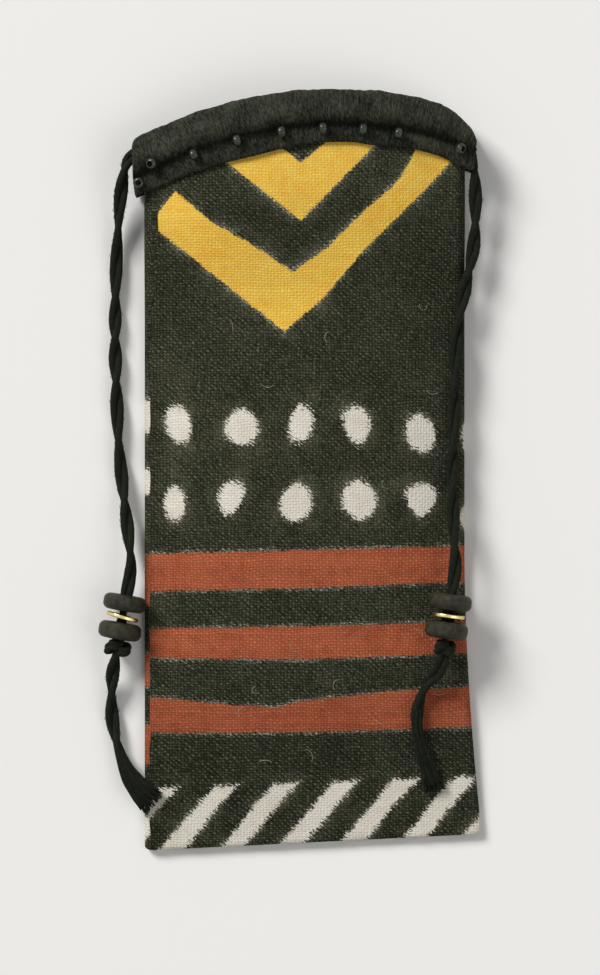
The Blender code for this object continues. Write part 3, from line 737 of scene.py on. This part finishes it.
def make_cord(side, route):
    path = evenly(through([Vector(p) * MM for p in route], 12), PATH_SPACING)
    steps, *tail_shape = TAILS[side]
    kept = len(path) - round(steps * 0.7)
    bm = bmesh.new()
    strands = []
    for number in range(2):
        points, radii = strand(path, number, 0.6 if side == "left" else 2.1)
        for k in range(10):
            radii[kept - 1 - k] *= mix(0.4, 1.0, k / 10)
        add_tube(bm, points[:kept], radii[:kept], 12)
        strands.append(points[:kept])
    add_fuzz(bm, strands)
    add_tail(bm, path[-steps:], *tail_shape)
    name = f"{side}_twisted_cord"
    cord = add_piece(name, finish_mesh(bm, name), black_cord, "root", [f"{side}_cord"])
    return cord, path


KNOT_SPREAD = {"left": 0.98 * MM, "right": 0.74 * MM}
KNOT_RISE = 0.7 * MM


# Turned beads and washers
def turned_mesh(name, profile, steps, wobble=0.0):
    """A ring turned about Z from a closed profile of (radius, height) points."""
    bm = bmesh.new()
    rings = []
    for k in range(steps):
        turn = 2 * math.pi * k / steps
        out = 1.0 + wobble * noise.noise(Vector((math.cos(turn), math.sin(turn), wobble * 50)))
        rings.append(
            [bm.verts.new((r * out * math.cos(turn), r * out * math.sin(turn), z)) for r, z in profile]
        )
    for k in range(steps):
        near, far = rings[k], rings[(k + 1) % steps]
        for i in range(len(profile)):
            j = (i + 1) % len(profile)
            bm.faces.new((near[i], near[j], far[j], far[i]))
    return finish_mesh(bm, name)


def ring_profile(bore, radius, length, rounding, steps=8):
    """Rounded rims outside and at the bore."""
    half, inner = length / 2, min(rounding, (radius - bore) / 2) * 0.4
    turns = [math.pi / 2 * i / steps for i in range(steps + 1)]
    rim = [(radius - rounding * (1 - math.sin(a)), half - rounding * (1 - math.cos(a))) for a in turns]
    lip = [(bore + inner * (1 - math.cos(a)), half - inner * (1 - math.sin(a))) for a in turns]
    top = lip + rim
    return top + [(r, -z) for r, z in top[::-1]]


def stand_at(mesh, position, axis):
    turn = Vector((0.0, 0.0, 1.0)).rotation_difference(Vector(axis)).to_matrix().to_4x4()
    mesh.transform(Matrix.Translation(position) @ turn)
    return mesh


def make_knot(side, centre, axis):
    """An overhand knot of both strands, drawn tight."""
    a = axis.orthogonal().normalized()
    b = axis.cross(a)
    spread = KNOT_SPREAD[side]
    bm = bmesh.new()
    for number in (-1, 1):
        points = []
        for i in range(97):
            turn = 2 * math.pi * i / 96 + 0.22 * number
            out = a * (math.sin(turn) + 2 * math.sin(2 * turn))
            out += b * (math.cos(turn) - 2 * math.cos(2 * turn))
            rise = -math.sin(3 * turn) * KNOT_RISE + number * 0.5 * MM
            points.append(centre + out * spread + axis * rise)
        add_tube(bm, points, 0.75 * MM, 10)
    name = f"{side}_wrapped_knot"
    return add_piece(name, finish_mesh(bm, name), black_cord, "root", [f"{side}_knot"])


def make_stack(side, centre, axis, washer_tilt):
    axis = Vector(axis).normalized()
    centre = Vector(centre)
    washer_at = LOWER_DISC_THICKNESS / 2 + BEAD_SPACING + WASHER_THICKNESS / 2
    upper_at = washer_at + WASHER_THICKNESS / 2 + BEAD_SPACING + UPPER_DISC_THICKNESS / 2
    knot_at = -(LOWER_DISC_THICKNESS / 2 + GAP + KNOT_LENGTH / 2)
    body = f"{side}_bead_stack"
    pieces = []
    for which, at, thickness in (
        ("lower", 0.0, LOWER_DISC_THICKNESS),
        ("upper", upper_at, UPPER_DISC_THICKNESS),
    ):
        name = f"{side}_{which}_disc"
        mesh = turned_mesh(name, ring_profile(BORE_RADIUS, DISC_RADIUS, thickness, 1.6 * MM), 72, 0.012)
        stand_at(mesh, centre + axis * at, axis)
        pieces.append(
            add_piece(name, mesh, black_disc, body, [f"{side}_{which}_disc_bead"])
        )
    name = f"{side}_washer"
    mesh = turned_mesh(name, ring_profile(BORE_RADIUS, WASHER_RADIUS, WASHER_THICKNESS, 0.3 * MM), 72)
    tilted = Matrix.Rotation(math.radians(washer_tilt), 3, "Z") @ axis
    stand_at(mesh, centre + axis * washer_at, tilted)
    pieces.append(add_piece(name, mesh, brass, body, [f"{side}_brass_washer"]))
    pieces.append(make_knot(side, centre + axis * knot_at, axis))
    return pieces


STACKS = {
    "left": ((-46.7 * MM, -39.9 * MM, 5.7 * MM), (0.171, 0.985, 0.0), -6.0),
    "right": ((34.95 * MM, -39.6 * MM, 10.3 * MM), (0.139, 0.990, 0.0), 0.0),
}
for side, route in (("left", LEFT_ROUTE), ("right", RIGHT_ROUTE)):
    cord, path = make_cord(side, route)
    on_cord = make_stack(side, *STACKS[side])


# Cloth
FACE_COLUMNS = 96
EDGE_COLUMNS = 9
CLOTH_ROWS = 176
PUCKER = 0.2 * MM
CORNER_ROUNDING = 2.2 * MM
SEAM_WANDER = 0.5 * MM
# The first rows above the bottom edge, and how much of its thickness is left there
EDGE_ROWS = (0.0, 0.07 * MM, 0.22 * MM, 0.45 * MM, 0.8 * MM, 1.3 * MM)
EDGE_CLOSED = 0.5


def corner_rise(x):
    """How far the bottom edge turns up at the pouch's two corners."""
    inside = min(x - LEFT_EDGE_X, right_edge(BOTTOM_RIGHT_Y) - x)
    u = 1.0 - min(max(inside / CORNER_ROUNDING, 0.0), 1.0)
    return CORNER_ROUNDING * 0.6 * (1.0 - math.sqrt(1.0 - u * u))


def cloth_place(side, place, y):
    """A point of the outer face, and how far round the cloth it lies from the front's middle."""
    left, right = LEFT_EDGE_X, right_edge(y)
    seam, fold = edge_heights(left, y)[0], edge_heights(right, y)[1]
    start, end = left + seam / 2, right - fold / 2
    back_start = end + math.pi * fold / 2
    if side == "front":
        x = mix(start, end, place)
        return Vector((x, y, front_height(x, y))), x
    if side == "back":
        x = mix(start, end, place)
        return Vector((x, y, back_height(x, y))), back_start + end - x
    radius = (fold if side == "fold" else seam) / 2
    turn = math.pi * (place - 0.5)
    sign = 1 if side == "fold" else -1
    centre = right - radius if side == "fold" else left + radius
    low = back_height(centre, y)
    spot = Vector(
        (centre + sign * radius * math.cos(turn), y, low + radius + sign * radius * math.sin(turn))
    )
    if side == "fold":
        return spot, end + radius * math.pi * (1 - place)
    return spot, back_start + end - start + radius * math.pi * (1 - place)


def pucker(side, x, y):
    """Small unevenness of the cloth: soft waves, and puckers along the sewn edges."""
    if side not in ("front", "back"):
        return 0.0
    calm = 1.0 - ease((up_the_pouch(x, y) - 0.84) / 0.08)
    soft = noise.noise(Vector((x * 70, y * 55, 3.0 if side == "front" else 9.0)))
    from_seam = min(x - LEFT_EDGE_X, y - bottom_edge(x))
    sewn = noise.noise(Vector((x * 330, y * 330, 1.0))) * math.exp(-from_seam / (5 * MM))
    edge = ease((x - LEFT_EDGE_X) / (4 * MM)) * ease((right_edge(y) - x) / (6 * MM))
    return PUCKER * calm * (soft + sewn * 1.5) * (edge if side == "front" else 0.0)


def edge_round(spot, up):
    """The height of a place near the bottom, where the two layers close to a round edge."""
    u = 1.0 - min(up / EDGE_ROWS[-1], 1.0)
    share = mix(EDGE_CLOSED, 1.0, math.sqrt(1.0 - u * u))
    middle = back_height(spot.x, spot.y) + SEAM_EDGE_HEIGHT / 2
    return mix(middle, spot.z, share)


def make_cloth():
    columns = [("back", i / FACE_COLUMNS) for i in range(FACE_COLUMNS + 1)]
    columns += [("fold", (i + 1) / (EDGE_COLUMNS + 1)) for i in range(EDGE_COLUMNS)]
    columns += [("front", 1 - i / FACE_COLUMNS) for i in range(FACE_COLUMNS + 1)]
    columns += [("seam", (i + 1) / (EDGE_COLUMNS + 1)) for i in range(EDGE_COLUMNS)]
    bm = bmesh.new()
    layout = bm.loops.layers.uv.new("cloth")
    grid, around = [], []
    for side, place in columns:
        offset = CLOTH_TAB if side in ("back", "front") else -SIDE_SLIT
        low, high = BOTTOM_LEFT_Y, ARCH_TOP_Y
        for _ in range(4):
            low_x = cloth_place(side, place, low)[0].x
            low = bottom_edge(low_x) + corner_rise(low_x)
            high = arch(cloth_place(side, place, high)[0].x, offset)
        spots, reach = [], []
        for j in range(CLOTH_ROWS + 1):
            up = EDGE_ROWS[j] if j < len(EDGE_ROWS) else None
            if up is None:
                share = (j - len(EDGE_ROWS) + 1) / (CLOTH_ROWS - len(EDGE_ROWS) + 1)
                up = mix(EDGE_ROWS[-1], high - low, share)
            spot, u = cloth_place(side, place, low + up)
            spot.z += pucker(side, spot.x, spot.y)
            spot.z = edge_round(spot, up)
            if (side, place) == ("front", 0.0):
                spot.x += SEAM_WANDER * noise.noise(Vector((spot.y * 190, 4.0, 0.0)))
            spots.append(bm.verts.new(spot))
            reach.append(u)
        grid.append(spots)
        around.append(reach)
    count = len(columns)
    for i in range(count):
        k = (i + 1) % count
        for j in range(CLOTH_ROWS):
            face = bm.faces.new((grid[i][j], grid[k][j], grid[k][j + 1], grid[i][j + 1]))
            lefts, rights = around[i], around[k]
            if columns[i][0] == "front" and columns[k][0] == "seam":
                lefts = [u + 0.4 * MM for u in rights]
            corners = ((lefts, j), (rights, j), (rights, j + 1), (lefts, j + 1))
            for loop, (us, row) in zip(face.loops, corners):
                loop[layout].uv = (us[row], loop.vert.co.y)
    first_front = FACE_COLUMNS + 1 + EDGE_COLUMNS
    front = [grid[first_front + i][0] for i in range(FACE_COLUMNS + 1)][::-1]
    back = [grid[i][0] for i in range(FACE_COLUMNS + 1)]
    hem = [bm.faces.new((back[i + 1], back[i], front[i], front[i + 1])) for i in range(FACE_COLUMNS)]
    fold = [grid[i][0] for i in range(FACE_COLUMNS, first_front + 1)]
    seam = [grid[i][0] for i in range(first_front + FACE_COLUMNS, count)] + [back[0]]
    hem += [bm.faces.new(fold[::-1]), bm.faces.new(seam[::-1])]
    for face in hem:
        for loop in face.loops:
            loop[layout].uv = (loop.vert.co.x, loop.vert.co.y + loop.vert.co.z)
    bmesh.ops.triangulate(bm, faces=[f for f in bm.faces if len(f.verts) > 4])
    cloth = add_piece(
        "printed_cloth", finish_mesh(bm, "printed_cloth"), mud_cloth, "root", ["cloth_body"]
    )
    wall = cloth.modifiers.new("wall", "SOLIDIFY")
    wall.thickness = CLOTH_THICKNESS
    wall.offset = -1.0


# Seed beads: along the arch, offset from the crease, lean of the hole from upright
SEED_BEADS = (
    (-52.2 * MM, -1.3 * MM, 8.0),
    (-47.2 * MM, 1.4 * MM, 25.0),
    (-36.6 * MM, -0.9 * MM, 90.0),
    (-25.2 * MM, -0.9 * MM, 90.0),
    (-13.8 * MM, -0.9 * MM, 90.0),
    (-3.4 * MM, -0.9 * MM, 90.0),
    (6.7 * MM, -0.9 * MM, 90.0),
    (15.6 * MM, -0.9 * MM, 90.0),
    (31.7 * MM, -0.9 * MM, -40.0),
)
THREAD_RADIUS = 0.16 * MM
HAIR_COUNT = 16
HAIR_RADIUS = 0.06 * MM
HAIR_STEP = 0.45 * MM

# Leather rolls
LEATHER_STATIONS = 230
ROLL_PUFF = 1.1 * MM
CREASE_DENT = 0.28 * MM
PINCH_REACH = 2.3 * MM
END_ROUNDING = 2.6 * MM
# The flange's cut edge below the crease: along the arch, depth
FLANGE_EDGE = (
    (-52.7, 3.4), (-40.7, 4.75), (-33.2, 5.3), (-22.6, 5.5), (-12.6, 5.0), (-3.6, 4.3),
    (4.1, 4.2), (9.4, 4.6), (19.5, 3.9), (26.2, 4.0), (31.9, 5.0),
)


def flange_height(along):
    for (x0, y0), (x1, y1) in zip(FLANGE_EDGE, FLANGE_EDGE[1:]):
        if along / MM <= x1:
            return mix(y0, y1, ease((along / MM - x0) / (x1 - x0))) * MM
    return FLANGE_EDGE[-1][1] * MM


def arch_angle(x):
    return math.asin((x - ARCH_X) / ARCH_RADIUS)


ROLL_LEFT_ANGLE = arch_angle(LEFT_EDGE_X + ROLL_LEFT_INSET)
ROLL_RIGHT_ANGLE = arch_angle(RIGHT_EDGE_X + ROLL_RIGHT_OVERHANG)


def on_arch(angle, offset):
    radius = ARCH_RADIUS + offset
    return ARCH_X + radius * math.sin(angle), ARCH_Y + radius * math.cos(angle)


def end_cut(angle, offset):
    """How far a place on the strip turns so that both its ends are cut straight down."""
    radius = ARCH_RADIUS + offset
    up = min(max((offset + FLANGE_HEIGHT) / (FLANGE_HEIGHT + ROLL_HEIGHT), 0.0), 1.0)
    left_x = LEFT_EDGE_X - mix(LEFT_OVERHANG_LOW, LEFT_OVERHANG_TOP, up)
    left = math.asin((left_x - ARCH_X) / radius) - ROLL_LEFT_ANGLE
    right = math.asin((RIGHT_EDGE_X + RIGHT_OVERHANG - ARCH_X) / radius) - ROLL_RIGHT_ANGLE
    to_edge = min(offset + flange_height(angle * ARCH_RADIUS), ROLL_HEIGHT - offset)
    u = 1.0 - min(max(to_edge / END_ROUNDING, 0.0), 1.0)
    pull = 0.7 * END_ROUNDING * (1.0 - math.sqrt(1.0 - u * u)) / radius
    from_left = (angle - ROLL_LEFT_ANGLE) * ARCH_RADIUS / END_CUT_LENGTH
    from_right = (ROLL_RIGHT_ANGLE - angle) * ARCH_RADIUS / END_CUT_LENGTH
    left += pull * mix(0.1, 1.0, ease(up * 2.0))
    return left * (1.0 - ease(from_left)) + (right - pull * 0.4) * (1.0 - ease(from_right))


def middle_height(x, y, side):
    if side == "front":
        return front_height(x, y) - CLOTH_THICKNESS / 2
    return back_height(x, y) + CLOTH_THICKNESS / 2


def roll_height(angle):
    along = CORNER_LENGTH - (ROLL_RIGHT_ANGLE - angle) * ARCH_RADIUS
    u = min(max(along / CORNER_LENGTH, 0.0), 1.0) / CORNER_FULLNESS
    drop = 1.0 - math.sqrt(1.0 - u * u)
    whole_drop = 1.0 - math.sqrt(1.0 - 1.0 / CORNER_FULLNESS**2)
    return mix(ROLL_HEIGHT, CORNER_END_HEIGHT, drop / whole_drop)


def binding_section(angle, side):
    x = on_arch(angle, 0.0)[0]
    straight = roll_height(angle) - ROLL_HALF_THICKNESS
    to_end = (ROLL_RIGHT_ANGLE - angle) * ARCH_RADIUS
    spread = 1.0 - ease((to_end - END_FLARE_START) / END_FLARE_LENGTH)
    leaf = mix(LEAF_OFFSET, ROLL_HALF_THICKNESS, spread)
    rise = mix(mix(LEAF_OFFSET, ROLL_HALF_THICKNESS, 0.7), ROLL_HALF_THICKNESS, spread)
    flange = flange_height(angle * ARCH_RADIUS)
    outer = [(-flange, leaf), (-flange / 2, leaf), (-INNER_STUB, leaf)]
    outer += [(0.2 * straight, rise), (0.55 * straight, ROLL_HALF_THICKNESS)]
    arc = [
        (
            straight + ROLL_HALF_THICKNESS * math.cos(math.radians(a)),
            ROLL_HALF_THICKNESS * math.sin(math.radians(a)),
        )
        for a in range(90, -91, -15)
    ]
    edge_left = ease((x - LEFT_EDGE_X - INNER_LEAF_MARGIN) / INNER_LEAF_FADE)
    edge_right = ease((RIGHT_EDGE_X - INNER_LEAF_MARGIN - x) / INNER_LEAF_FADE)
    inner_length = mix(INNER_LEAF_LEAST, FLANGE_HEIGHT, min(edge_left, edge_right))
    inner = [(s, -t) for s, t in outer[::-1]]
    inner[-1] = (-inner_length, -leaf)
    inner[-2] = (-(INNER_STUB + inner_length) / 2, -leaf)
    line = outer + arc + inner
    return line if side == "front" else [(s, -t) for s, t in line]


def leather_relief(side, along, offset, height, straight):
    """How far the leather stands off its plain section: puff, sewn-in crease, wrinkles."""
    on_roll = ease(offset / (2 * MM))
    wrinkles = 0.15 * noise.noise(Vector((along * 850, offset * 130, 2.0)))
    folds = 0.28 * noise.noise(Vector((along * 260, offset * 90, 6.0)))
    relief = on_roll * MM * (wrinkles + folds)
    outside = min(max(height / ROLL_HALF_THICKNESS, -1.0), 1.0)
    if side == "back":
        return relief * (0.2 if outside < 0.0 else 1.0)
    if outside <= 0.0:
        return relief
    sewn = max(math.exp(-(((along - bead) / PINCH_REACH) ** 2)) for bead, _, _ in SEED_BEADS)
    rise = min(max(offset / straight, 0.0), 1.0)
    puff = ROLL_PUFF * math.sin(math.pi * rise ** 0.8) * (1.0 - 0.7 * sewn * (1.0 - rise))
    dent = CREASE_DENT * math.exp(-(((offset - 0.4 * MM) / (0.9 * MM)) ** 2))
    waves = 0.2 * MM * noise.noise(Vector((along * 180, offset * 60, 11.0))) * (1.0 - on_roll)
    return relief + puff * outside - dent + max(waves, -0.1 * MM)


def make_leather(name, side, node):
    bm = bmesh.new()
    layout = bm.loops.layers.uv.new("strip")
    rows, places = [], []
    for k in range(LEATHER_STATIONS + 1):
        angle = mix(ROLL_LEFT_ANGLE, ROLL_RIGHT_ANGLE, k / LEATHER_STATIONS)
        straight = roll_height(angle) - ROLL_HALF_THICKNESS
        section = through([Vector(p) for p in binding_section(angle, side)], 3)
        row, reach = [], 0.0
        for i, spot in enumerate(section):
            reach += (spot - section[i - 1]).length if i else 0.0
            x, y = on_arch(angle + end_cut(angle, spot[0]), spot[0])
            row.append(bm.verts.new((x, y, middle_height(x, y, side) + spot[1])))
            places.append((angle * ARCH_RADIUS, spot[0], spot[1], straight, reach))
        rows.append(row)
    for a, b in zip(rows, rows[1:]):
        for i in range(len(a) - 1):
            bm.faces.new((a[i], b[i], b[i + 1], a[i + 1]))
    bm.verts.index_update()
    bm.normal_update()
    outward = 1.0 if side == "front" else -1.0
    for vert, (along, offset, height, straight, _) in zip(list(bm.verts), places):
        vert.co += vert.normal * outward * leather_relief(side, along, offset, height, straight)
    for face in bm.faces:
        for loop in face.loops:
            place = places[loop.vert.index]
            loop[layout].uv = (place[0], place[4])
    leather = add_piece(name, finish_mesh(bm, name), black_leather, "root", [node])
    wall = leather.modifiers.new("wall", "SOLIDIFY")
    wall.thickness = LEATHER_THICKNESS
    wall.offset = 0.0


make_leather("front_roll", "front", "front_binding")
make_leather("back_roll", "back", "back_binding")
make_cloth()


def make_seed_beads():
    """Each bead stands where its node is, with the thread that sews it down."""
    profile = ring_profile(SEED_HOLE_RADIUS, SEED_RADIUS, SEED_LENGTH, SEED_ROUNDING)
    threads = bmesh.new()
    for number, (along, _, lean) in enumerate(SEED_BEADS, 1):
        low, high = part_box(f"seed_bead_{number}")
        centre = (low + high) / 2
        angle = along / ARCH_RADIUS
        tangent = Vector((math.cos(angle), -math.sin(angle), 0.0))
        turn = Matrix.Rotation(math.radians(lean), 3, tangent.cross((0, 0, 1)))
        axis = turn @ Vector((0, 0, 1))
        name = f"sewn_bead_{number}"
        mesh = stand_at(turned_mesh(name, profile, 32), centre, axis)
        add_piece(name, mesh, black_glass, "root", [f"seed_bead_{number}"])
        down = Vector((0, 0, -1.9 * MM))
        end = axis * (SEED_LENGTH / 2 + 0.1 * MM)
        spots = [centre - end * 1.2 + down, centre - end, centre, centre + end, centre + end * 1.2 + down]
        add_tube(threads, through(spots, 6), THREAD_RADIUS, 6)
    add_piece("bead_threads", finish_mesh(threads, "bead_threads"), black_cord, "root")


make_seed_beads()


def make_loose_hairs():
    """A few hairs of the cloth that have come loose and lie on its front."""
    bm = bmesh.new()
    for _ in range(HAIR_COUNT):
        x, y = CHANCE.uniform(-34.0, 32.0) * MM, CHANCE.uniform(-76.0, 56.0) * MM
        heading, bend = CHANCE.uniform(0.0, 2 * math.pi), CHANCE.uniform(-0.5, 0.5)
        points = []
        for _ in range(9):
            height = front_height(x, y) + pucker("front", x, y) + HAIR_RADIUS
            points.append(Vector((x, y, height)))
            x += math.cos(heading) * HAIR_STEP
            y += math.sin(heading) * HAIR_STEP
            heading += bend * CHANCE.uniform(0.4, 1.6)
        add_tube(bm, points, HAIR_RADIUS, 4)
    add_piece("loose_hairs", finish_mesh(bm, "loose_hairs"), loose_hair, "root")


make_loose_hairs()

# Floor, light and backdrop
floor_mesh = bpy.data.meshes.new("floor")
bm = bmesh.new()
bmesh.ops.create_grid(bm, x_segments=1, y_segments=1, size=3.0)
bm.to_mesh(floor_mesh)
bm.free()
floor = bpy.data.objects.new("floor", floor_mesh)
floor.location.z = cad_low.z - 0.1 * MM
bpy.context.scene.collection.objects.link(floor)
floor_looks = Looks("pale_floor", 0.9, Specular_IOR_Level=0.1)
floor_mesh.materials.append(floor_looks.colour((0.80, 0.79, 0.77, 1.0)))


def add_lamp(name, position, size, power):
    lamp = bpy.data.lights.new(name, "AREA")
    lamp.size = size
    lamp.energy = power
    holder = bpy.data.objects.new(name, lamp)
    holder.location = position
    holder.rotation_euler = (-Vector(position)).to_track_quat("-Z", "Y").to_euler()
    bpy.context.scene.collection.objects.link(holder)


add_lamp("key", (-3.30, 3.40, 3.62), 2.20, 368.0)
add_lamp("fill", (1.40, -0.70, 1.80), 1.60, 12.0)

world = bpy.data.worlds.new("studio")
world.use_nodes = True
bpy.context.scene.world = world
backdrop = world.node_tree.nodes["Background"]
backdrop.inputs["Color"].default_value = (0.93, 0.93, 0.92, 1.0)
rays = world.node_tree.nodes.new("ShaderNodeLightPath")
level = world.node_tree.nodes.new("ShaderNodeMapRange")
level.inputs["To Min"].default_value = 0.32
level.inputs["To Max"].default_value = 1.0
shown = rays.outputs["Is Camera Ray"]
for kind in ("Is Glossy Ray", "Is Transmission Ray"):
    either = world.node_tree.nodes.new("ShaderNodeMath")
    either.operation = "MAXIMUM"
    world.node_tree.links.new(shown, either.inputs[0])
    world.node_tree.links.new(rays.outputs[kind], either.inputs[1])
    shown = either.outputs[0]
world.node_tree.links.new(shown, level.inputs["Value"])
world.node_tree.links.new(level.outputs["Result"], backdrop.inputs["Strength"])
bpy.context.scene.view_settings.view_transform = "Standard"
